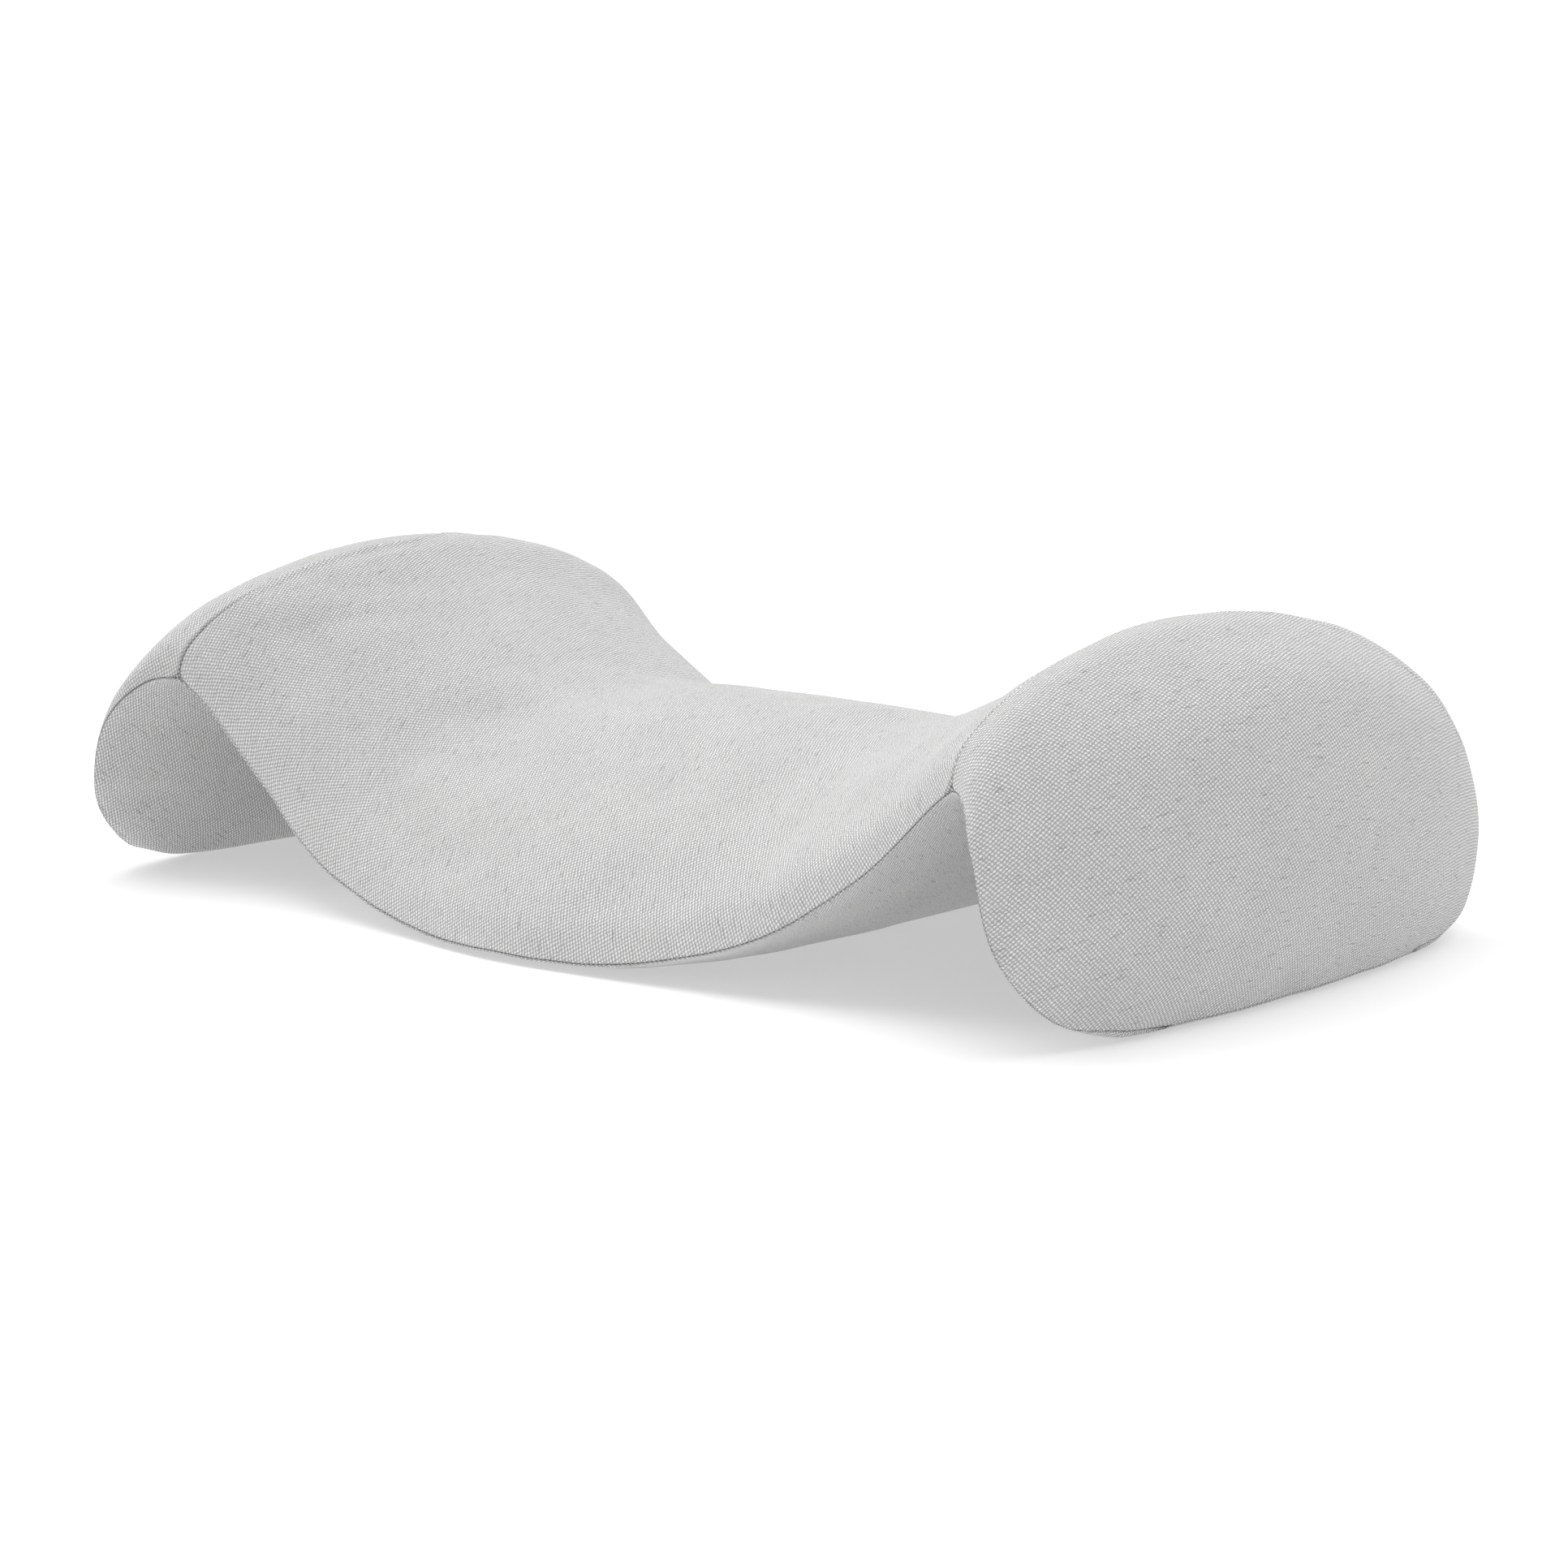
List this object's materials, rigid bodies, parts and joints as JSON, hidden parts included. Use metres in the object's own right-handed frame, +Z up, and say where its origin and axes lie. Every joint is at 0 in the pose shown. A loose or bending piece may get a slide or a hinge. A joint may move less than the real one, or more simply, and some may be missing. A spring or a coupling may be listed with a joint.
{
  "type": "lumbar support pillow",
  "caption": "Sculpted lumbar pillow in grey knit: a low rounded seat between two raised wings that arch over and come down to the floor as legs.",
  "frame": {"origin": "on the floor, under the middle of the pillow", "axes": "+X along the pillow's length, -Y its front, +Z up from the floor"},
  "size_m": [0.5, 0.29, 0.124],
  "materials": {
    "grey_knit": "matt pale grey piqué knit with raised pale dots and short darker slubs"
  },
  "bodies": {
    "root": {"pillow_body": "grey_knit"}
  },
  "joints": []
}
